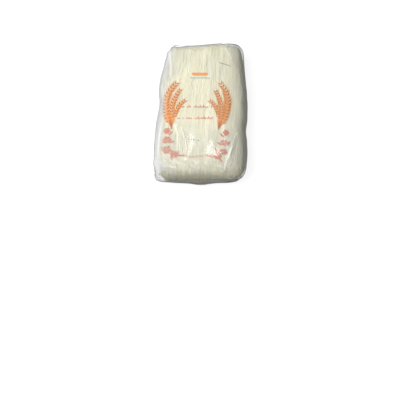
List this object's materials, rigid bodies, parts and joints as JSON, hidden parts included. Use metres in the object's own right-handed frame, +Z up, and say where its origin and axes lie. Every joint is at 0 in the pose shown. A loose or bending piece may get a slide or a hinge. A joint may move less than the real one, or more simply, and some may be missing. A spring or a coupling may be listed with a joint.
{
  "type": "block of dried rice vermicelli",
  "caption": "Brick of fine dried rice noodles pressed in long skeins and sealed in a clear printed film bag, lying flat on its seam side.",
  "frame": {"origin": "on the surface the pack lies on, under the middle of its box", "axes": "+X across the pack to the right, +Y along the noodles to the far, narrower end, +Z up through the thickness"},
  "size_m": [0.1182, 0.2036, 0.043],
  "materials": {
    "noodles": "dry, slightly translucent ivory rice noodle with a faint satin sheen",
    "film": "thin clear glossy packaging film with soft creases and folded, crimped ends",
    "print": "orange, red and teal ink printed on the inside of the clear film"
  },
  "bodies": {
    "root": {"vermicelli_pack": "noodles"}
  },
  "joints": []
}
